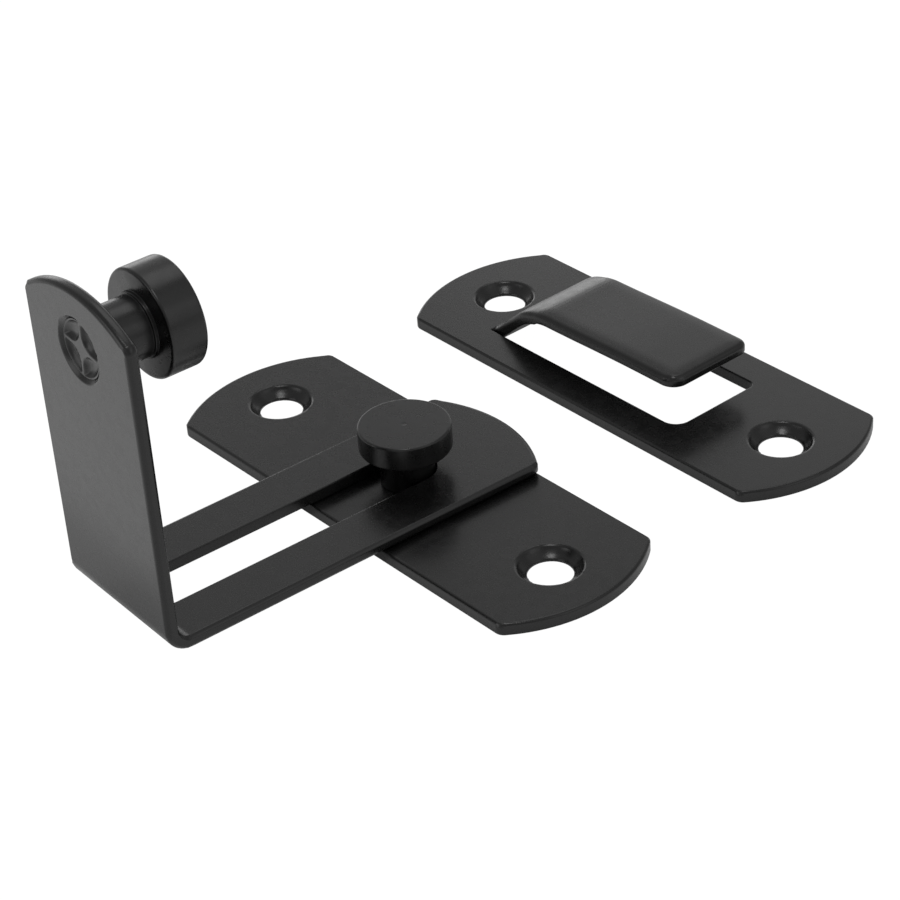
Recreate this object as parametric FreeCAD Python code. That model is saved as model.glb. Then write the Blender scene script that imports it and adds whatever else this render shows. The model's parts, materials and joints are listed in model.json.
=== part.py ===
import FreeCAD, Part
import math
import os
from FreeCAD import Vector

# Barn door latch: a slotted, bent arm on a base plate, and the keeper plate that goes with it.
# Frame: +Z up out of the plates' backs, +X along the plates, +Y from the latch to the keeper.
# The origin is on the base plate's back, midway between its two screw holes, under the stud.
# All sizes are in millimetres and degrees.

# Steel strap that the plates and the arm are made from
strap_thickness = 2.1
strap_corner_round = 0.9
end_radius = 23.5

# Outline and screw holes that both plates share
plate_width = 30.4
plate_side = 76.3
plate_edge_break = 0.3
plate_back_break = 0.15
screw_spacing = 65.0
screw_hole_radius = 3.5
countersink_radius = 5.1
countersink_rim_break = 0.25

# Slotted arm
arm_width = 26.6
arm_reach = 53.0
arm_tail = 19.4
arm_turn = -2.35
arm_edge_break = 0.5
slot_width = 9.0
slot_to_bend = 1.3
slot_corner_round = 1.5
slot_edge_break = 0.2
bend_inner_radius = 2.0
leg_height = 55.0

# Pivot stud
stud_head_radius = 7.3
stud_head_height = 4.0
stud_head_edge = 0.25
stud_lift_room = 3.95
stud_tail_radius = 3.0
stud_tail_end_radius = 4.3
stud_tail_recess = 0.15
stud_centre_mark = 0.5
stud_centre_mark_depth = 0.25

# Knob
knob_below_leg_top = 9.4
knob_head_radius = 8.3
knob_head_length = 6.0
knob_head_edge = 0.3
knob_neck_radius = 4.7
knob_neck_length = 7.8
knob_collar_step = 0.35
knob_collar_length = 0.6
knob_tail_radius = 3.25
knob_tail_end_radius = 5.15
knob_tail_recess = 0.45

# Staked face of the knob's tail: four pockets that leave a raised cross inside a rim
stake_rim = 0.4
stake_pocket_depth = 0.6
stake_pocket_round = 0.6
stake_cross_width = 0.5
stake_cross_round = 2.3
stake_cross_turn = 7.0

# Keeper plate
keeper_x = 1.1
keeper_y = 48.0
window_width = 17.8
window_end = 18.3
window_front_round = 2.6
window_back_round = 1.2
tongue_root = -25.8
tongue_top = 10.25
tongue_ramp_angle = 42.0
tongue_low_bend_radius = 0.8
tongue_top_bend_radius = 11.0
tongue_front_round = 2.8
tongue_back_round = 2.0
tongue_edge_round = 0.9
tongue_under_break = 0.2

# Clearances
flat_clearance = 0.1
pivot_clearance = 0.05
staked_clearance = 0.02
slot_clearance = 0.2
tongue_side_slit = 0.3
tongue_end_slit = 0.7
cut_margin = 1.0

# Sizes and heights that follow from the ones above
arm_underside = strap_thickness + flat_clearance
arm_top = arm_underside + strap_thickness
bend_outer_radius = bend_inner_radius + strap_thickness
bend_start = arm_reach - bend_outer_radius
slot_end = bend_start - slot_to_bend
leg_top = arm_underside + leg_height
stud_neck_radius = slot_width / 2 - slot_clearance
stud_head_underside = arm_top + stud_lift_room
stud_top = stud_head_underside + stud_head_height
knob_height = leg_top - knob_below_leg_top
knob_tail_face_radius = knob_tail_end_radius - knob_tail_recess
tongue_width = window_width - 2 * tongue_side_slit
tongue_end = window_end - tongue_end_slit

ORIGIN = Vector(0, 0, 0)
ALONG_X = Vector(1, 0, 0)
ALONG_Y = Vector(0, 1, 0)
UP = Vector(0, 0, 1)
TINY = 1e-6


def end_sagitta(width):
    """How far a convex end of the common radius stands out past its two corners."""
    return end_radius - math.sqrt(end_radius**2 - (width / 2) ** 2)


def face_inside(edges):
    """A flat face inside one closed run of edges."""
    return Part.Face(Part.Wire(Part.sortEdges(edges)[0]))


def arc(start, middle, finish):
    """A circular edge through three points."""
    return Part.Arc(start, middle, finish).toShape()


def box_between(low, high):
    """A box from its low corner to its high corner."""
    size = high - low
    return Part.makeBox(size.x, size.y, size.z, low)


def turned(profile):
    """A turned piece about Z, from its half profile of (radius, height) points."""
    points = [Vector(radius, 0, height) for radius, height in profile]
    points.append(points[0])
    return Part.Face(Part.makePolygon(points)).revolve(ORIGIN, UP, 360)


def parallel(one, other):
    """Whether two directions are the same or opposite."""
    return one.cross(other).Length < TINY


def straight_edges(shape, direction):
    """The straight edges of a shape that run along one direction."""
    lines = [edge for edge in shape.Edges if isinstance(edge.Curve, Part.Line)]
    return [edge for edge in lines if parallel(edge.Curve.Direction, direction)]


def is_narrow(face):
    """Whether a face of a strap across Y is one of its sides or ends, and not a broad face."""
    if isinstance(face.Surface, Part.Plane):
        return parallel(face.Surface.Axis, ALONG_Y)
    return not parallel(face.Surface.Axis, ALONG_Y)


def strap_rims(strap):
    """The edges where a strap's sides and ends meet its two broad faces."""
    rims = []
    for edge in strap.Edges:
        narrow = [is_narrow(face) for face in strap.ancestorsOfType(edge, Part.Face)]
        if any(narrow) and not all(narrow):
            rims.append(edge)
    return rims


def countersunk_hole(hole_radius, rim_radius):
    """The cutter for a hole through a strap that lies on z = 0, countersunk from above at 90 degrees."""
    cone_start = strap_thickness - (rim_radius - hole_radius)
    return turned([
        (0, -cut_margin),
        (hole_radius, -cut_margin),
        (hole_radius, cone_start),
        (rim_radius + cut_margin, strap_thickness + cut_margin),
        (0, strap_thickness + cut_margin),
    ])


def riveting_seat(tail_radius, tail_end_radius, clearance):
    """The cutter for a riveted tail, countersunk from the strap's underside."""
    seat = countersunk_hole(tail_radius + clearance, tail_end_radius + clearance)
    seat.rotate(Vector(0, 0, strap_thickness / 2), ALONG_X, 180)
    return seat


def plate_blank():
    """The outline of both plates: two straight sides and two convex ends."""
    x = plate_side / 2
    y = plate_width / 2
    tip = x + end_sagitta(plate_width)
    outline = face_inside([
        Part.makeLine(Vector(-x, -y, 0), Vector(x, -y, 0)),
        arc(Vector(x, -y, 0), Vector(tip, 0, 0), Vector(x, y, 0)),
        Part.makeLine(Vector(x, y, 0), Vector(-x, y, 0)),
        arc(Vector(-x, y, 0), Vector(-tip, 0, 0), Vector(-x, -y, 0)),
    ])
    blank = outline.extrude(UP * strap_thickness)
    blank = blank.makeFillet(strap_corner_round, straight_edges(blank, UP))
    front = [edge for edge in strap_rims(blank) if edge.CenterOfMass.z > strap_thickness / 2]
    blank = blank.makeChamfer(plate_edge_break, front)
    back = [edge for edge in blank.Edges if edge.BoundBox.ZMax < TINY]
    return blank.makeChamfer(plate_back_break, back)


def drilled_plate():
    """A plate with its two countersunk screw holes, their rims slightly broken."""
    plate = plate_blank()
    for side in (-1, 1):
        hole = countersunk_hole(screw_hole_radius, countersink_radius)
        hole.translate(ALONG_X * side * screw_spacing / 2)
        plate = plate.cut(hole)
    circles = [edge for edge in plate.Edges if isinstance(edge.Curve, Part.Circle)]
    rims = [edge for edge in circles if abs(edge.Curve.Radius - countersink_radius) < TINY]
    return plate.makeChamfer(countersink_rim_break, rims)


def base_plate():
    """The plate that carries the arm, with the stud's seat at its middle."""
    return drilled_plate().cut(riveting_seat(stud_tail_radius, stud_tail_end_radius, pivot_clearance))


def pivot_stud():
    """Head, neck in the arm's slot, shoulder on the plate, and a tail closed from behind."""
    return turned([
        (0, stud_tail_recess),
        (stud_tail_end_radius - stud_tail_recess, stud_tail_recess),
        (stud_tail_radius, stud_tail_end_radius - stud_tail_radius),
        (stud_tail_radius, arm_underside),
        (stud_neck_radius, arm_underside),
        (stud_neck_radius, stud_head_underside),
        (stud_head_radius - stud_head_edge, stud_head_underside),
        (stud_head_radius, stud_head_underside + stud_head_edge),
        (stud_head_radius, stud_top - stud_head_edge),
        (stud_head_radius - stud_head_edge, stud_top),
        (stud_centre_mark, stud_top),
        (0, stud_top - stud_centre_mark_depth),
    ])


def lower_leg():
    """The arm's lower leg along +X, from its convex end behind the stud to the bend."""
    y = arm_width / 2
    corner = end_sagitta(arm_width) - arm_tail
    outline = face_inside([
        arc(Vector(corner, -y, 0), Vector(-arm_tail, 0, 0), Vector(corner, y, 0)),
        Part.makeLine(Vector(corner, -y, 0), Vector(bend_start, -y, 0)),
        Part.makeLine(Vector(bend_start, -y, 0), Vector(bend_start, y, 0)),
        Part.makeLine(Vector(bend_start, y, 0), Vector(corner, y, 0)),
    ])
    outline.translate(UP * arm_underside)
    return outline.extrude(UP * strap_thickness)


def arm_bend():
    """The quarter turn between the arm's two legs."""
    y = arm_width / 2
    lower_edge = box_between(Vector(bend_start, -y, arm_underside), Vector(bend_start + TINY, y, arm_top))
    section = min(lower_edge.Faces, key=lambda face: face.CenterOfMass.x)
    axis_point = Vector(bend_start, 0, arm_underside + bend_outer_radius)
    return section.revolve(axis_point, ALONG_Y, -90)


def upright_leg():
    """The arm's upright leg, from the bend to its convex top."""
    y = arm_width / 2
    foot = arm_underside + bend_outer_radius
    corner = leg_top - end_sagitta(arm_width)
    outline = face_inside([
        Part.makeLine(Vector(0, -y, foot), Vector(0, y, foot)),
        Part.makeLine(Vector(0, y, foot), Vector(0, y, corner)),
        arc(Vector(0, y, corner), Vector(0, 0, leg_top), Vector(0, -y, corner)),
        Part.makeLine(Vector(0, -y, corner), Vector(0, -y, foot)),
    ])
    outline.translate(ALONG_X * (arm_reach - strap_thickness))
    return outline.extrude(ALONG_X * strap_thickness)


def slot_cutter():
    """The slot: round at its end under the head, square with rounded corners at the bend."""
    half = slot_width / 2
    low = arm_underside - cut_margin
    high = arm_top + cut_margin
    straight = box_between(Vector(0, -half, low), Vector(slot_end, half, high))
    corners = [edge for edge in straight_edges(straight, UP) if edge.CenterOfMass.x > TINY]
    straight = straight.makeFillet(slot_corner_round, corners)
    round_end = Part.makeCylinder(half, high - low, Vector(0, 0, low))
    return straight.fuse(round_end).removeSplitter()


def slot_rims(arm):
    """The edges where the slot's walls meet the lower leg's two broad faces."""
    half = slot_width / 2 + TINY
    return [edge for edge in strap_rims(arm) if max(-edge.BoundBox.YMin, edge.BoundBox.YMax) < half]


def outline_corners(arm):
    """The four short edges at the corners of the arm's two convex ends."""
    behind = [edge for edge in straight_edges(arm, UP) if edge.CenterOfMass.x < -arm_tail / 2]
    on_top = [edge for edge in straight_edges(arm, ALONG_X) if edge.CenterOfMass.z > knob_height]
    return behind + on_top


def set_on_stud(drawn):
    """Turns what is drawn along +X about the stud, to the arm's direction in the latch."""
    drawn.rotate(ORIGIN, UP, arm_turn - 90)
    return drawn


def set_across_leg(drawn):
    """Lays what is turned about +Z, from z = 0 up, across the upright leg from its outer face."""
    drawn.rotate(ORIGIN, ALONG_Y, -90)
    drawn.translate(Vector(arm_reach, 0, knob_height))
    return drawn


def slotted_arm():
    """One bent strap with its slot and the seat for the knob's tail."""
    arm = lower_leg().fuse([arm_bend(), upright_leg()]).removeSplitter()
    arm = arm.makeFillet(strap_corner_round, outline_corners(arm))
    arm = arm.makeChamfer(arm_edge_break, strap_rims(arm))
    arm = arm.cut(slot_cutter())
    arm = arm.makeChamfer(slot_edge_break, slot_rims(arm))
    seat = riveting_seat(knob_tail_radius, knob_tail_end_radius, staked_clearance)
    return set_on_stud(arm.cut(set_across_leg(seat)))


def stake_pockets():
    """Four pockets in the tail's face, between the two bars of a raised cross."""
    radius = knob_tail_face_radius - stake_rim
    half_bar = stake_cross_width / 2
    low = -cut_margin
    floor = knob_tail_recess + stake_pocket_depth
    axis = Part.makeLine(Vector(0, 0, low), Vector(0, 0, floor))
    pockets = Part.makeCylinder(radius, floor - low, Vector(0, 0, low))
    pockets = pockets.cut([
        box_between(Vector(-radius, -half_bar, low), Vector(radius, half_bar, floor)),
        box_between(Vector(-half_bar, -radius, low), Vector(half_bar, radius, floor)),
    ])
    for corner_round, at_centre in ((stake_pocket_round, False), (stake_cross_round, True)):
        corners = straight_edges(pockets, UP)
        chosen = [edge for edge in corners if (edge.distToShape(axis)[0] < stake_cross_width) == at_centre]
        pockets = pockets.makeFillet(corner_round, chosen)
    pockets.rotate(ORIGIN, UP, stake_cross_turn)
    return pockets


def knob():
    """Head, collar, neck and staked tail, all turned about one axis."""
    shoulder = strap_thickness + staked_clearance
    head_start = strap_thickness + knob_neck_length
    head_end = head_start + knob_head_length
    collar_start = head_start - knob_collar_length
    collar_radius = knob_neck_radius + knob_collar_step
    piece = turned([
        (0, knob_tail_recess),
        (knob_tail_face_radius, knob_tail_recess),
        (knob_tail_radius, knob_tail_end_radius - knob_tail_radius),
        (knob_tail_radius, shoulder),
        (knob_neck_radius, shoulder),
        (knob_neck_radius, collar_start),
        (collar_radius, collar_start),
        (collar_radius, head_start),
        (knob_head_radius - knob_head_edge, head_start),
        (knob_head_radius, head_start + knob_head_edge),
        (knob_head_radius, head_end - knob_head_edge),
        (knob_head_radius - knob_head_edge, head_end),
        (0, head_end),
    ])
    return set_on_stud(set_across_leg(piece.cut(stake_pockets())))


def rounded_end(shape, end, front_round, back_round):
    """Rounds the two upright corners, front and back, at the end of a shape that lies along X."""
    for radius, outermost in ((front_round, min), (back_round, max)):
        corners = [edge for edge in straight_edges(shape, UP) if edge.CenterOfMass.x > end - TINY]
        corner = outermost(corners, key=lambda edge: edge.CenterOfMass.y)
        shape = shape.makeFillet(radius, [corner])
    return shape


def joggled_face(depth):
    """One face of the tongue in profile, this deep under its top: flat, bend, ramp, bend, flat."""
    ramp = math.radians(tongue_ramp_angle)
    radii = tongue_low_bend_radius + tongue_top_bend_radius
    ramp_rise = tongue_top - strap_thickness - radii * (1 - math.cos(ramp))
    top_bend_x = tongue_root + radii * math.sin(ramp) + ramp_rise / math.tan(ramp)
    low_centre = Vector(tongue_root, 0, strap_thickness + tongue_low_bend_radius)
    top_centre = Vector(top_bend_x, 0, tongue_top - tongue_top_bend_radius)

    def on_low_bend(angle):
        outward = Vector(math.sin(angle), 0, -math.cos(angle))
        return low_centre + outward * (tongue_low_bend_radius + depth)

    def on_top_bend(angle):
        outward = Vector(-math.sin(angle), 0, math.cos(angle))
        return top_centre + outward * (tongue_top_bend_radius - depth)

    return [
        Part.makeLine(on_low_bend(0) - ALONG_X * cut_margin, on_low_bend(0)),
        arc(on_low_bend(0), on_low_bend(ramp / 2), on_low_bend(ramp)),
        Part.makeLine(on_low_bend(ramp), on_top_bend(ramp)),
        arc(on_top_bend(ramp), on_top_bend(ramp / 2), on_top_bend(0)),
        Part.makeLine(on_top_bend(0), Vector(tongue_end, 0, tongue_top - depth)),
    ]


def raised_rims(piece, line):
    """The rims of the tongue, from its top bend to its free end, that follow one line of its profile."""
    path = Part.Compound(line)
    rims = []
    for edge in strap_rims(piece):
        middle = edge.valueAt((edge.FirstParameter + edge.LastParameter) / 2)
        away = path.distToShape(Part.Vertex(middle.x, 0, middle.z))[0]
        if away < TINY and edge.BoundBox.ZMax > tongue_top - strap_thickness - TINY:
            rims.append(edge)
    return rims


def tongue():
    """The raised tongue, with rounded corners and edges at its free end and sides."""
    top = joggled_face(0)
    underside = joggled_face(strap_thickness)
    root_line = Part.makeLine(top[0].Vertexes[0].Point, underside[0].Vertexes[0].Point)
    end_line = Part.makeLine(top[-1].Vertexes[-1].Point, underside[-1].Vertexes[-1].Point)
    profile = face_inside(top + underside + [root_line, end_line])
    profile.translate(-ALONG_Y * tongue_width / 2)
    piece = profile.extrude(ALONG_Y * tongue_width)
    piece = rounded_end(piece, tongue_end, tongue_front_round, tongue_back_round)
    piece = piece.makeFillet(tongue_edge_round, raised_rims(piece, top))
    return piece.makeChamfer(tongue_under_break, raised_rims(piece, underside))


def window_cutter():
    """The window that the tongue is cut out of, with rounded corners at the free end."""
    y = window_width / 2
    low = -cut_margin
    window = box_between(Vector(tongue_root, -y, low), Vector(window_end, y, strap_thickness + cut_margin))
    return rounded_end(window, window_end, window_front_round, window_back_round)


def keeper_plate():
    """The second plate, with its window and the tongue raised out of it."""
    plate = drilled_plate().cut(window_cutter())
    plate = plate.fuse(tongue()).removeSplitter()
    plate.translate(Vector(keeper_x, keeper_y, 0))
    return plate


PIECES = {
    "base_plate": base_plate,
    "pivot_stud": pivot_stud,
    "slotted_arm": slotted_arm,
    "knob": knob,
    "keeper_plate": keeper_plate,
}

os.makedirs("parts", exist_ok=True)
for name, make in PIECES.items():
    solid = make().Solids[0]
    solid.exportStep(f"parts/{name}.step")
    print(name, "valid", solid.isValid(), "volume", round(solid.Volume, 1), "faces", len(solid.Faces))
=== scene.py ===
import bmesh
import bpy
import json
import math
from mathutils import Matrix, Vector


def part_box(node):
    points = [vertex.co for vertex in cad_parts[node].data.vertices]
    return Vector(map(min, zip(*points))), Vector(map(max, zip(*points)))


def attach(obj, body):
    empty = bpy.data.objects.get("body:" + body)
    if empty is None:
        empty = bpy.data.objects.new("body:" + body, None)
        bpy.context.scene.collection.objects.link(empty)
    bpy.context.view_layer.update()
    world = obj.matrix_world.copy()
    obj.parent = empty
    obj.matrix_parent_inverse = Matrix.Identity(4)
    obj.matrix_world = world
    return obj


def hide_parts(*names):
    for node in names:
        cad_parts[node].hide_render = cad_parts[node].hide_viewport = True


# Barn door latch in black powder coat: the looks of its two plates, arm, stud and knob.
# Everything is in metres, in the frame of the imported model.

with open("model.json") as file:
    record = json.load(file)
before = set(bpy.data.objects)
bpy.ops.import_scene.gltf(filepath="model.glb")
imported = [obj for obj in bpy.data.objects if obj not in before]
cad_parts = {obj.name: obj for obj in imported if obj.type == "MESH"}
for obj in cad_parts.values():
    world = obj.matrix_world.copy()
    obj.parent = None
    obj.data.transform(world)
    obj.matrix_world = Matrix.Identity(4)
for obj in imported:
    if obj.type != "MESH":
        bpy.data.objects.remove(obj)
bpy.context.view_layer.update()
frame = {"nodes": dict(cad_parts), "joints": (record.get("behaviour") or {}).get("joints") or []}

MM = 0.001

# Ways in the frame: up, along and across both plates, and inwards from the leg as the arm slides
origin = Vector((0, 0, 0))
upright = Vector((0, 0, 1))
plates_along = Vector((1, 0, 0))
plates_across = Vector((0, 1, 0))
slide_joint = next(joint for joint in frame["joints"] if joint["type"] == "slide")
inwards = Vector(slide_joint["axis"]).normalized()
arm_outer_face = min(vertex.co.dot(inwards) for vertex in frame["nodes"]["slotted_arm"].data.vertices)

# Strap pieces: the body that carries each, and its material slot
STRAPS = {
    "base_plate": ("base", "plate_paint"),
    "keeper_plate": ("base", "plate_paint"),
    "slotted_arm": ("arm", "arm_paint"),
}
plate_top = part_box("base_plate")[1].z
strap_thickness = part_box("base_plate")[1].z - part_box("base_plate")[0].z

# Copies of the solids: points that are one, faces that are one, and edges too short to keep
merge_distance = 0.0001 * MM
flat_angle = math.radians(0.4)
least_edge = 0.004 * MM

# Rounding of the painted edges: the least width of the faces beside an edge, and the rounding it gets.
# The weight lets the broadest face at a point lead its shading.
edge_rounds = (
    (0.60 * MM, 0.32 * MM),
    (0.38 * MM, 0.19 * MM),
    (0.30 * MM, 0.155 * MM),
    (0.24 * MM, 0.125 * MM),
    (0.16 * MM, 0.09 * MM),
)
edge_round_steps = 3
edge_round_profile = 0.5
sharp_edge_angle = math.radians(20)
broad_face_weight = 100

# Pressed tongue: how its top sags behind the bend and rolls over at its edges
tongue_sag = 0.42 * MM
tongue_sag_places = (-18.5 * MM, -14.0 * MM, -13.5 * MM, 10.0 * MM)
tongue_roll = 0.30 * MM
tongue_roll_reach = 2.6 * MM
tongue_cell = 0.8 * MM

# Corners of the straps' outlines: how much rounder the painted ones are, how deep their zone is, how
# high up the leg its own start, and the digits of a height that tell two layers of points apart
corner_growth = 0.9 * MM
corner_zone = 0.9 * MM
leg_corner_start = 30 * MM
level_digits = 5

# Countersinks of the plates, a little hollow between rim and hole; their faces are known by how near
# they are to a screw's axis, and by the upward part of their normals
screw_spacing = 65 * MM
countersink_reach = 5.2 * MM
dish_depth = 0.22 * MM
dish_cuts = (0.2, 0.4, 0.6, 0.8)
least_cone_lean = 0.3
most_cone_lean = 0.95

# Turned pieces: steps round the axis, steps of a rounded corner, and rings on the staked face
turned_steps = 144
corner_steps = 5
ring_spacing = 0.1 * MM

# Stud, from its tail up
stud_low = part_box("pivot_stud")[0].z
stud_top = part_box("pivot_stud")[1].z
stud_head_height = 4.0 * MM
stud_head_radius = 7.3 * MM
stud_head_round = 0.35 * MM
stud_neck_radius = 4.3 * MM
stud_neck_round = 0.15 * MM
stud_tail_radius = 3.0 * MM
stud_tail_face_radius = 4.15 * MM
stud_tail_length = 1.15 * MM
stud_shoulder = 2.2 * MM
stud_mark_radius = 0.5 * MM
stud_mark_depth = 0.08 * MM
stud_mark_round = 0.3 * MM

# Knob, from its tail up
knob_tail_recess = 0.45 * MM
knob_tail_face_radius = 4.7 * MM
knob_tail_round = 0.1 * MM
knob_tail_radius = 3.25 * MM
knob_tail_cone_end = 1.9 * MM
knob_shoulder = 2.12 * MM
knob_shoulder_round = 0.15 * MM
knob_neck_radius = 4.7 * MM
knob_collar_start = 9.3 * MM
knob_collar_radius = 5.05 * MM
knob_collar_round = 0.15 * MM
knob_inner_round = 0.1 * MM
knob_head_start = 9.9 * MM
knob_head_end = 15.9 * MM
knob_head_radius = 8.3 * MM
knob_head_round = 0.5 * MM

# Staked face of the knob's tail
stake_rim = 0.4 * MM
stake_reach = knob_tail_face_radius - stake_rim
stake_bar_width = 0.5 * MM
stake_depth = 0.7 * MM
stake_wall = 1.1 * MM
stake_centre_round = 2.3 * MM
stake_corner_softness = 0.5 * MM
stake_turn = math.radians(7.0)
stake_face_margin = 0.01 * MM

# Powder coat: its tones and gloss, and the sizes of its patches, waves and grain
coat_dark = 0.003
coat_light = 0.005
coat_index = 1.5
strap_roughness = 0.27
turned_roughness = 0.29
roughness_spread = 0.03
noise_low = 0.3
noise_high = 0.7
tone_patch = 2.5 * MM
gloss_patch = 1.6 * MM
patch_detail = 3
wave_size = 2.2 * MM
wave_detail = 1
grain_detail = 2
strap_grain = 0.35 * MM
strap_grain_depth = 0.0025 * MM
turned_grain = 0.30 * MM
turned_grain_depth = 0.002 * MM

# Camera, at the photograph's viewing angle
camera_lens = 107.6
camera_sensor = 36.0
camera_azimuth = math.radians(51.5)
camera_elevation = math.radians(33.09)
camera_roll = math.radians(-4.18)
camera_distance = 427.7 * MM
camera_target = Vector((-4.02, 11.81, 0.0)) * MM

# Floor
floor_size = 6.0
floor_gap = 0.02 * MM
bounce_whiteness = 0.8
bounce_glow = 0.16
seen_shading = 0.05
seen_glow = 1.0

# Lights
light_centre = Vector((0.0, 15.0, 10.0)) * MM
box_distance = 900 * MM
card_centre = Vector((-78.0, -143.0, 0.0)) * MM
card_size = 160 * MM
card_luminance = 0.35
world_strength = 0.40

# Soft boxes: turn from the X axis and height over the floor in degrees, size, luminance
SOFTBOXES = (
    ("back_top_box", 122, 68, 450 * MM, 1.1),
    ("front_top_box", 312, 70, 240 * MM, 5.6),
    ("back_box", 122, 17, 600 * MM, 0.47),
    ("back_left_box", 150, 4, 360 * MM, 1.5),
    ("left_box", 167, 45, 600 * MM, 0.2),
    ("front_left_box", 257, 17, 520 * MM, 1.2),
    ("right_box", 10, 25, 500 * MM, 0.48),
    ("back_right_box", 32, 45, 600 * MM, 0.22),
    ("low_left_box", 169, 13, 260 * MM, 1.3),
)


def finish_piece(mesh, name, node, body):
    """Makes a mesh a finished piece that rides on its body and stands for its CAD node."""
    mesh.name = name
    piece = bpy.data.objects.new(name, mesh)
    bpy.context.collection.objects.link(piece)
    weighted = piece.modifiers.new("face weighted shading", "WEIGHTED_NORMAL")
    weighted.weight = broad_face_weight
    weighted.keep_sharp = True
    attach(piece, body)
    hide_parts(node)


def smooth_mesh(shape, mesh):
    """Writes a shape with smooth faces into a mesh."""
    for face in shape.faces:
        face.smooth = True
    shape.to_mesh(mesh)
    shape.free()
    return mesh


def merged_mesh(node):
    """A copy of a CAD piece's mesh with its loose triangles joined into faces."""
    shape = bmesh.new()
    shape.from_mesh(node.data)
    bmesh.ops.remove_doubles(shape, verts=shape.verts, dist=merge_distance)
    bmesh.ops.dissolve_limit(shape, angle_limit=flat_angle, verts=shape.verts, edges=shape.edges)
    return shape


def narrowest_side(edge):
    """How wide the narrower of the two faces beside an edge is, across the edge."""
    return min(face.calc_area() / edge.calc_length() for face in edge.link_faces)


def round_edges(shape):
    """Rounds every sharp edge of a strap, by as much as the faces beside it have room for."""
    left = [edge for edge in shape.edges if edge.calc_face_angle(0) > sharp_edge_angle]
    groups = []
    for least_width, offset in edge_rounds:
        groups.append(([edge for edge in left if narrowest_side(edge) >= least_width], offset))
        left = [edge for edge in left if narrowest_side(edge) < least_width]
    for edges, offset in groups:
        whole = [edge for edge in edges if edge.is_valid]
        bmesh.ops.bevel(shape, geom=whole, offset=offset, offset_type="OFFSET", segments=edge_round_steps,
                        profile=edge_round_profile, affect="EDGES", clamp_overlap=False)
    bmesh.ops.remove_doubles(shape, verts=shape.verts, dist=least_edge)


def slice_faces(shape, faces, place, across):
    """Cuts some faces along a plane."""
    edges = list(dict.fromkeys(edge for face in faces for edge in face.edges))
    verts = list(dict.fromkeys(vertex for face in faces for vertex in face.verts))
    bmesh.ops.bisect_plane(shape, geom=verts + edges + faces, dist=merge_distance,
                           plane_co=place, plane_no=across)


def share(value, start, end):
    """How far a value has come from a start to an end, smoothly, from 0 to 1."""
    part = min(max((value - start) / (end - start), 0.0), 1.0)
    return part * part * (3 - 2 * part)


def bow(part):
    """The height of a bow along its chord: 0 at both ends, and 1 half way."""
    return 1 - (2 * part - 1)**2


def widen_corner(shape, middle, along, across, start):
    """Makes one rounded corner of a strap's outline rounder, about the point where its sides meet."""
    half_width = max((vertex.co - middle).dot(across) for vertex in shape.verts)
    through = along.cross(across)
    levels = {}
    for vertex in shape.verts:
        from_middle = vertex.co - middle
        place = Vector((from_middle.dot(along), from_middle.dot(across)))
        if place.x > start and place.y > half_width - corner_zone:
            levels.setdefault(round(from_middle.dot(through), level_digits), []).append((place, vertex))
    for arc in levels.values():
        first = min((place for place, _ in arc), key=lambda place: place.x)
        last = max((place for place, _ in arc), key=lambda place: place.x)
        span = last - first
        reach = span.length_squared / (2 * span.x)
        meeting = first + Vector((reach, 0))
        half_turn = abs(math.atan2(last.y - meeting.y, last.x - meeting.x)) / 2
        growth = corner_growth * math.tan(half_turn) / reach
        for place, vertex in arc:
            shift = (place - meeting) * growth
            vertex.co += along * shift.x + across * shift.y


def widen_corners(shape, node, body):
    """Makes the corners of a plate's two ends, or of the arm's tail and leg, rounder."""
    if body == "base":
        low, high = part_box(node)
        sideways = plates_across
        ends = [((low + high) / 2, side * plates_along, 0) for side in (-1, 1)]
    else:
        sideways = inwards.cross(upright)
        ends = [(origin, inwards, 0), (origin, upright, leg_corner_start)]
    for middle, along, start in ends:
        for side in (-1, 1):
            widen_corner(shape, middle, along, side * sideways, start)


def cone_faces(shape, screw):
    """The faces of the countersink round one screw's axis."""
    return [face for face in shape.faces if least_cone_lean < face.normal.z < most_cone_lean
            and (face.calc_center_median().xy - screw).length < countersink_reach]


def dish_countersinks(shape, node):
    """Hollows each countersink of a plate a little, between its rim and its hole."""
    low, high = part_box(node)
    for side in (-1, 1):
        screw = ((low + high) / 2 + plates_along * side * screw_spacing / 2).xy
        heights = [vertex.co.z for face in cone_faces(shape, screw) for vertex in face.verts]
        foot = min(heights)
        rim = max(heights)
        for cut in dish_cuts:
            slice_faces(shape, cone_faces(shape, screw), upright * (foot + (rim - foot) * cut), upright)
        for vertex in {vertex for face in cone_faces(shape, screw) for vertex in face.verts}:
            part = (vertex.co.z - foot) / (rim - foot)
            out = (vertex.co.xy - screw).normalized() * dish_depth * bow(part)
            vertex.co += out.to_3d()


def press_tongue(shape):
    """Gives the keeper's raised tongue its pressed form: a fine mesh, then small shifts of its points."""
    least_height = plate_top + merge_distance
    raised = [vertex.co for vertex in shape.verts if vertex.co.z > least_height]
    low = Vector([min(point[axis] for point in raised) for axis in range(3)])
    high = Vector([max(point[axis] for point in raised) for axis in range(3)])
    for across in (plates_along, plates_across):
        for cut in range(1, int((high - low).dot(across) / tongue_cell)):
            faces = [face for face in shape.faces if face.calc_center_median().z > least_height]
            slice_faces(shape, faces, low + across * cut * tongue_cell, across)
    sag_start, sag_full, sag_fade, sag_end = tongue_sag_places
    for vertex in shape.verts:
        x, y, z = vertex.co
        if z > plate_top:
            sagged = tongue_sag * share(x, sag_start, sag_full) * (1 - share(x, sag_fade, sag_end))
            inset = min(y - low.y, high.y - y, high.x - x)
            underside = high.z - strap_thickness if x > sag_full else plate_top
            on_top = share(z, underside, high.z)
            rolled = tongue_roll * max(1 - inset / tongue_roll_reach, 0)**2 * on_top
            vertex.co.z = z - sagged - rolled


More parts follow.
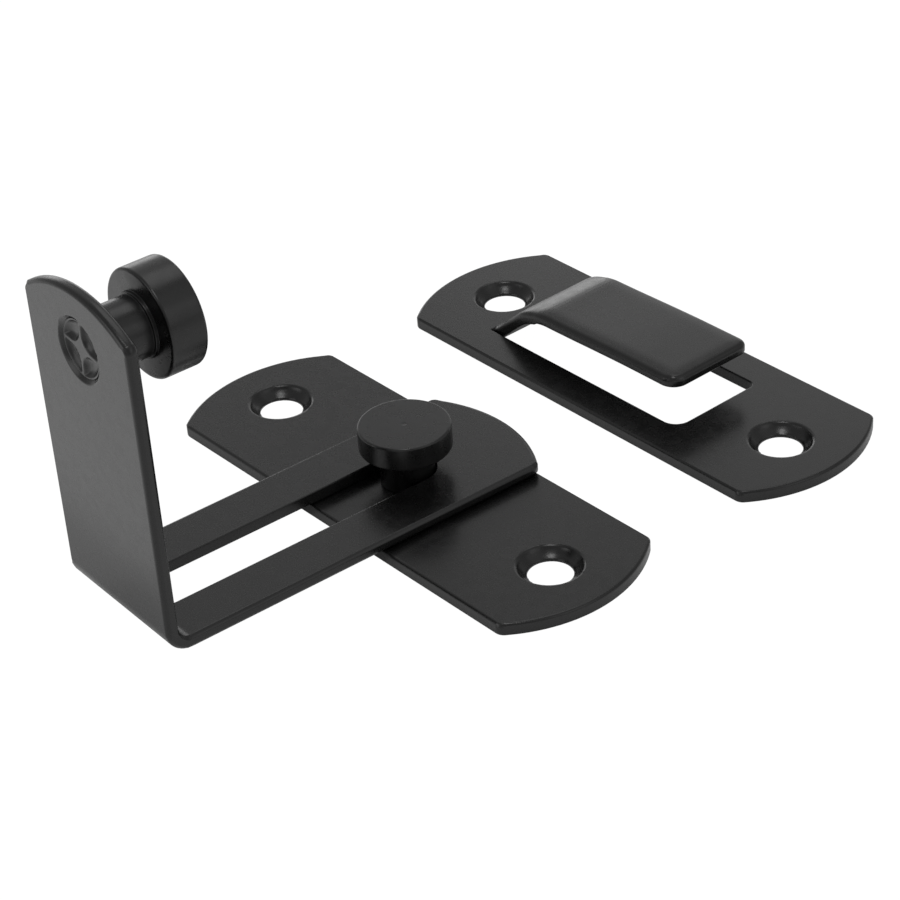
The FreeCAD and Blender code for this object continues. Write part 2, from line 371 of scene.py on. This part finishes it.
def paint_strap(node, body, paint):
    """Makes the painted piece that stands for a strap: the same form with softly rounded edges."""
    shape = merged_mesh(frame["nodes"][node])
    widen_corners(shape, node, body)
    if body == "base":
        dish_countersinks(shape, node)
    round_edges(shape)
    if node == "keeper_plate":
        press_tongue(shape)
    mesh = smooth_mesh(shape, bpy.data.meshes.new(node))
    mesh.materials.append(paint)
    finish_piece(mesh, f"{node}_painted", node, body)


def rounded_corner(before, corner, after, rounding):
    """Points on the arc that rounds one corner of a profile."""
    back = (before - corner).normalized()
    ahead = (after - corner).normalized()
    half = back.angle(ahead) / 2
    reach = rounding / math.tan(half)
    centre = corner + (back + ahead).normalized() * rounding / math.sin(half)
    start = corner + back * reach - centre
    end = corner + ahead * reach - centre
    turn = start.angle(end)
    points = []
    for step in range(corner_steps + 1):
        part = step / corner_steps
        out = start * math.sin((1 - part) * turn) + end * math.sin(part * turn)
        points.append(centre + out / math.sin(turn))
    return points


def half_profile(corners):
    """A half profile as points of (radius, height), from corners of (radius, height, rounding)."""
    flat = [Vector((radius, height)) for radius, height, _ in corners]
    points = [flat[0]]
    for index in range(1, len(corners) - 1):
        rounding = corners[index][2]
        if rounding:
            points += rounded_corner(flat[index - 1], flat[index], flat[index + 1], rounding)
        else:
            points.append(flat[index])
    return points + [flat[-1]]


def with_rings(points, spacing):
    """The same profile with its first stretch, the flat face at the tail, divided into rings."""
    count = math.ceil((points[1] - points[0]).length / spacing)
    rings = [points[0].lerp(points[1], step / count) for step in range(count)]
    return rings + points[1:]


def tree_input(tree, name, kind, value=None):
    """Gives a node tree a named input, with its default."""
    socket = tree.interface.new_socket(name=name, in_out="INPUT", socket_type=kind)
    if value is not None:
        socket.default_value = value


def lathe_tree():
    """Turns a profile line about Z, and presses four pockets round a raised cross in its first face."""
    tree = bpy.data.node_groups.new("lathe_and_stake", "GeometryNodeTree")
    tree.interface.new_socket(name="Geometry", in_out="INPUT", socket_type="NodeSocketGeometry")
    tree_input(tree, "Steps Around", "NodeSocketInt", turned_steps)
    tree_input(tree, "Pocket Depth", "NodeSocketFloat", 0.0)
    tree_input(tree, "Pocket Reach", "NodeSocketFloat", stake_reach)
    tree_input(tree, "Bar Width", "NodeSocketFloat", stake_bar_width)
    tree_input(tree, "Wall", "NodeSocketFloat", stake_wall)
    tree_input(tree, "Centre Round", "NodeSocketFloat", stake_centre_round)
    tree_input(tree, "Corner Softness", "NodeSocketFloat", stake_corner_softness)
    tree_input(tree, "Cross Turn", "NodeSocketFloat", stake_turn)
    tree_input(tree, "Face Height", "NodeSocketFloat", 0.0)
    tree_input(tree, "Paint", "NodeSocketMaterial")
    tree.interface.new_socket(name="Geometry", in_out="OUTPUT", socket_type="NodeSocketGeometry")
    nodes = tree.nodes
    links = tree.links
    given = nodes.new("NodeGroupInput").outputs

    def math_node(operation, *values):
        node = nodes.new("ShaderNodeMath")
        node.operation = operation
        for socket, value in zip(node.inputs, values):
            if isinstance(value, (int, float)):
                socket.default_value = value
            else:
                links.new(value, socket)
        return node.outputs[0]

    # Grid of profile points by steps round the axis; half a point more keeps each row's first in its row
    size = nodes.new("GeometryNodeAttributeDomainSize")
    links.new(given["Geometry"], size.inputs["Geometry"])
    columns = math_node("ADD", given["Steps Around"], 1)
    grid = nodes.new("GeometryNodeMeshGrid")
    links.new(size.outputs["Point Count"], grid.inputs["Vertices X"])
    links.new(columns, grid.inputs["Vertices Y"])
    index = nodes.new("GeometryNodeInputIndex").outputs["Index"]
    row = math_node("FLOOR", math_node("DIVIDE", math_node("ADD", index, 1 / 2), columns))
    column = math_node("SUBTRACT", index, math_node("MULTIPLY", row, columns))
    sample = nodes.new("GeometryNodeSampleIndex")
    sample.data_type = "FLOAT_VECTOR"
    sample.domain = "POINT"
    links.new(given["Geometry"], sample.inputs["Geometry"])
    links.new(nodes.new("GeometryNodeInputPosition").outputs["Position"], sample.inputs["Value"])
    links.new(row, sample.inputs["Index"])
    split = nodes.new("ShaderNodeSeparateXYZ")
    links.new(sample.outputs["Value"], split.inputs["Vector"])
    radius = split.outputs["X"]
    height = split.outputs["Z"]
    angle = math_node("MULTIPLY", math_node("DIVIDE", column, given["Steps Around"]), math.tau)

    # Pockets: how far a point of the face is inside one, seen in the turned frame of the cross
    turned_angle = math_node("SUBTRACT", angle, given["Cross Turn"])
    half_bar = math_node("DIVIDE", given["Bar Width"], 2)
    round_start = math_node("ADD", half_bar, given["Centre Round"])
    squares = []
    for way in ("COSINE", "SINE"):
        off_axis = math_node("ABSOLUTE", math_node("MULTIPLY", radius, math_node(way, turned_angle)))
        gap = math_node("MAXIMUM", math_node("SUBTRACT", round_start, off_axis), 0)
        squares.append(math_node("MULTIPLY", gap, gap))
    corner = math_node("SQRT", math_node("ADD", *squares))
    off_bars = math_node("SUBTRACT", given["Centre Round"], corner)
    off_rim = math_node("SUBTRACT", given["Pocket Reach"], radius)
    inside = math_node("SMOOTH_MIN", off_bars, off_rim, given["Corner Softness"])
    clamp = nodes.new("ShaderNodeClamp")
    links.new(math_node("DIVIDE", inside, given["Wall"]), clamp.inputs["Value"])
    rest = math_node("SUBTRACT", 1, clamp.outputs["Result"])
    bowl = math_node("SUBTRACT", 1, math_node("MULTIPLY", rest, rest))
    on_face = math_node("LESS_THAN", height, given["Face Height"])
    sunk = math_node("MULTIPLY", math_node("MULTIPLY", bowl, given["Pocket Depth"]), on_face)

    place = nodes.new("ShaderNodeCombineXYZ")
    links.new(math_node("MULTIPLY", radius, math_node("COSINE", angle)), place.inputs["X"])
    links.new(math_node("MULTIPLY", radius, math_node("SINE", angle)), place.inputs["Y"])
    links.new(math_node("ADD", height, sunk), place.inputs["Z"])
    lay = nodes.new("GeometryNodeSetPosition")
    links.new(grid.outputs["Mesh"], lay.inputs["Geometry"])
    links.new(place.outputs["Vector"], lay.inputs["Position"])
    close = nodes.new("GeometryNodeMergeByDistance")
    close.inputs["Distance"].default_value = merge_distance
    links.new(lay.outputs["Geometry"], close.inputs["Geometry"])
    real = nodes.new("GeometryNodeRealizeInstances")
    links.new(close.outputs["Geometry"], real.inputs["Geometry"])
    painted = nodes.new("GeometryNodeSetMaterial")
    links.new(real.outputs["Geometry"], painted.inputs["Geometry"])
    links.new(given["Paint"], painted.inputs["Material"])
    links.new(painted.outputs["Geometry"], nodes.new("NodeGroupOutput").inputs["Geometry"])
    return tree


def turned_mesh(points, sizes, tree):
    """The plain mesh that the lathe tree makes from one half profile."""
    line = bpy.data.meshes.new("profile_line")
    line.from_pydata([(point.x, 0, point.y) for point in points],
                     [(step, step + 1) for step in range(len(points) - 1)], [])
    maker = bpy.data.objects.new("profile_line", line)
    bpy.context.collection.objects.link(maker)
    modifier = maker.modifiers.new("lathe", "NODES")
    modifier.node_group = tree
    for socket in tree.interface.items_tree:
        if socket.in_out == "INPUT" and socket.name in sizes:
            modifier[socket.identifier] = sizes[socket.name]
    view = bpy.context.evaluated_depsgraph_get()
    mesh = bpy.data.meshes.new_from_object(maker.evaluated_get(view), depsgraph=view)
    bpy.data.objects.remove(maker)
    bpy.data.meshes.remove(line)
    shape = bmesh.new()
    shape.from_mesh(mesh)
    bmesh.ops.recalc_face_normals(shape, faces=shape.faces)
    return smooth_mesh(shape, mesh)


def stud_mesh(tree, paint):
    """The stud: tail, shoulder, neck and head, turned about Z with softly rounded rims."""
    underside = stud_top - stud_head_height
    profile = half_profile([
        (0, stud_low, 0),
        (stud_tail_face_radius, stud_low, 0),
        (stud_tail_radius, stud_low + stud_tail_length, 0),
        (stud_tail_radius, stud_shoulder, 0),
        (stud_neck_radius, stud_shoulder, 0),
        (stud_neck_radius, underside, stud_neck_round),
        (stud_head_radius, underside, stud_head_round),
        (stud_head_radius, stud_top, stud_head_round),
        (stud_mark_radius, stud_top, stud_mark_round),
        (0, stud_top - stud_mark_depth, 0),
    ])
    return turned_mesh(profile, {"Paint": paint}, tree)


def knob_mesh(tree, paint):
    """The knob: staked tail, neck, collar and head, laid across the upright leg."""
    profile = half_profile([
        (0, knob_tail_recess, 0),
        (knob_tail_face_radius, knob_tail_recess, knob_tail_round),
        (knob_tail_radius, knob_tail_cone_end, 0),
        (knob_tail_radius, knob_shoulder, 0),
        (knob_neck_radius, knob_shoulder, knob_shoulder_round),
        (knob_neck_radius, knob_collar_start, knob_inner_round),
        (knob_collar_radius, knob_collar_start, knob_collar_round),
        (knob_collar_radius, knob_head_start, knob_inner_round),
        (knob_head_radius, knob_head_start, knob_head_round),
        (knob_head_radius, knob_head_end, knob_head_round),
        (0, knob_head_end, 0),
    ])
    sizes = {
        "Pocket Depth": stake_depth,
        "Pocket Reach": stake_reach,
        "Bar Width": stake_bar_width,
        "Wall": stake_wall,
        "Centre Round": stake_centre_round,
        "Corner Softness": stake_corner_softness,
        "Cross Turn": stake_turn,
        "Face Height": knob_tail_recess + stake_face_margin,
        "Paint": paint,
    }
    mesh = turned_mesh(with_rings(profile, ring_spacing), sizes, tree)
    mesh.transform(knob_place())
    return mesh


def knob_place():
    """Where the knob's axis lies: from the leg's outer face inwards, along the arm's slide."""
    low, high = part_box("knob")
    place = Matrix((upright, inwards.cross(upright), inwards)).transposed().to_4x4()
    place.translation = inwards * arm_outer_face + upright * (low.z + high.z) / 2
    return place


def grey(level):
    """One grey as an opaque colour, from 0 for black to 1 for white."""
    return (level, level, level, 1)


def powder_coat(name, roughness, grain_size, grain_depth):
    """Black powder coat: a fine grain over a slow waviness, and slightly uneven gloss."""
    material = bpy.data.materials.new(name)
    material.use_nodes = True
    nodes = material.node_tree.nodes
    links = material.node_tree.links
    nodes.clear()
    place = nodes.new("ShaderNodeTexCoord")

    def noise(size, detail):
        texture = nodes.new("ShaderNodeTexNoise")
        texture.inputs["Scale"].default_value = 1 / size
        texture.inputs["Detail"].default_value = detail
        links.new(place.outputs["Object"], texture.inputs["Vector"])
        return texture.outputs["Fac"]

    def spread(value, low, high):
        remap = nodes.new("ShaderNodeMapRange")
        remap.inputs["From Min"].default_value = noise_low
        remap.inputs["From Max"].default_value = noise_high
        remap.inputs["To Min"].default_value = low
        remap.inputs["To Max"].default_value = high
        links.new(value, remap.inputs["Value"])
        return remap.outputs["Result"]

    def relief(height, depth, below=None):
        bump = nodes.new("ShaderNodeBump")
        bump.inputs["Strength"].default_value = 1.0
        bump.inputs["Distance"].default_value = depth
        links.new(height, bump.inputs["Height"])
        if below is not None:
            links.new(below, bump.inputs["Normal"])
        return bump.outputs["Normal"]

    shader = nodes.new("ShaderNodeBsdfPrincipled")
    shader.inputs["IOR"].default_value = coat_index
    tone = nodes.new("ShaderNodeMix")
    tone.data_type = "RGBA"
    tone.inputs["A"].default_value = grey(coat_dark)
    tone.inputs["B"].default_value = grey(coat_light)
    links.new(spread(noise(tone_patch, patch_detail), 0, 1), tone.inputs["Factor"])
    links.new(tone.outputs["Result"], shader.inputs["Base Color"])
    gloss = noise(gloss_patch, patch_detail)
    uneven = spread(gloss, roughness - roughness_spread, roughness + roughness_spread)
    links.new(uneven, shader.inputs["Roughness"])
    waves = relief(noise(wave_size, wave_detail), grain_depth)
    grain = relief(noise(grain_size, grain_detail), grain_depth, waves)
    links.new(grain, shader.inputs["Normal"])
    output = nodes.new("ShaderNodeOutputMaterial")
    links.new(shader.outputs["BSDF"], output.inputs["Surface"])
    return material


def floor_sheet(name, height, whiteness, glow):
    """One flat sheet of the floor, matt, with some light of its own."""
    mesh = bpy.data.meshes.new(name)
    half = floor_size / 2
    corners = [(-half, -half, height), (half, -half, height), (half, half, height), (-half, half, height)]
    mesh.from_pydata(corners, [], [(0, 1, 2, 3)])
    sheet = bpy.data.objects.new(name, mesh)
    bpy.context.collection.objects.link(sheet)
    material = bpy.data.materials.new(name)
    material.use_nodes = True
    shader = material.node_tree.nodes["Principled BSDF"]
    shader.inputs["Base Color"].default_value = grey(whiteness)
    shader.inputs["Roughness"].default_value = 1.0
    shader.inputs["Specular IOR Level"].default_value = 0.0
    shader.inputs["Emission Color"].default_value = grey(1)
    shader.inputs["Emission Strength"].default_value = glow
    mesh.materials.append(material)
    return sheet


def pale_floor():
    """The floor: a matt sheet that lights the latch, and over it the white that the camera sees."""
    floor_sheet("floor_bounce", -2 * floor_gap, bounce_whiteness, bounce_glow).visible_camera = False
    seen = floor_sheet("floor", -floor_gap, seen_shading, seen_glow)
    seen.visible_diffuse = False
    seen.visible_glossy = False
    seen.visible_shadow = False


def square_lamp(name, centre, towards, size, luminance):
    """A square soft light of one luminance, centred on a point and facing one way."""
    light = bpy.data.lights.new(name, "AREA")
    light.shape = "SQUARE"
    light.size = size
    light.energy = math.pi * size**2 * luminance
    lamp = bpy.data.objects.new(name, light)
    lamp.location = centre
    lamp.rotation_euler = (-towards).to_track_quat("Z", "Y").to_euler()
    lamp.visible_camera = False
    bpy.context.collection.objects.link(lamp)


def softbox(name, turn, height, size, luminance):
    """A soft box at one turn from the X axis and one height over the floor, facing the latch."""
    turned = math.radians(turn)
    raised = math.radians(height)
    outwards = Vector((math.cos(turned), math.sin(turned), 0))
    away = outwards * math.cos(raised) + upright * math.sin(raised)
    square_lamp(name, light_centre + away * box_distance, -away, size, luminance)


def studio_light():
    """Soft boxes round the latch, a card that glows beside the upright leg, and a pale world."""
    for box in SOFTBOXES:
        softbox(*box)
    square_lamp("floor_card", card_centre, upright, card_size, card_luminance)
    world = bpy.data.worlds.new("pale_room")
    world.use_nodes = True
    world.node_tree.nodes["Background"].inputs["Color"].default_value = grey(1)
    world.node_tree.nodes["Background"].inputs["Strength"].default_value = world_strength
    bpy.context.scene.world = world


def photo_camera():
    """The camera, at the photograph's viewing angle, distance and roll."""
    back = Vector((math.sin(camera_azimuth) * math.cos(camera_elevation),
                   -math.cos(camera_azimuth) * math.cos(camera_elevation),
                   math.sin(camera_elevation)))
    right = Vector((math.cos(camera_azimuth), math.sin(camera_azimuth), 0))
    up = back.cross(right)
    rolled_right = right * math.cos(camera_roll) + up * math.sin(camera_roll)
    rolled_up = up * math.cos(camera_roll) - right * math.sin(camera_roll)
    lens = bpy.data.cameras.new("photo_camera")
    lens.lens = camera_lens
    lens.sensor_width = camera_sensor
    camera = bpy.data.objects.new("photo_camera", lens)
    bpy.context.collection.objects.link(camera)
    place = Matrix((rolled_right, rolled_up, back)).transposed().to_4x4()
    place.translation = camera_target + back * camera_distance
    camera.matrix_world = place
    bpy.context.scene.camera = camera


paints = {
    "plate_paint": powder_coat("plate_powder_coat", strap_roughness, strap_grain, strap_grain_depth),
    "arm_paint": powder_coat("arm_powder_coat", strap_roughness, strap_grain, strap_grain_depth),
    "turned_paint": powder_coat("turned_powder_coat", turned_roughness, turned_grain, turned_grain_depth),
}
for node, (body, slot) in STRAPS.items():
    paint_strap(node, body, paints[slot])
lathe = lathe_tree()
stud = stud_mesh(lathe, paints["turned_paint"])
finish_piece(stud, "pivot_stud_painted", "pivot_stud", "stud")
knob = knob_mesh(lathe, paints["turned_paint"])
finish_piece(knob, "knob_painted", "knob", "arm")

pale_floor()
studio_light()
photo_camera()
bpy.context.scene.view_settings.view_transform = "Standard"
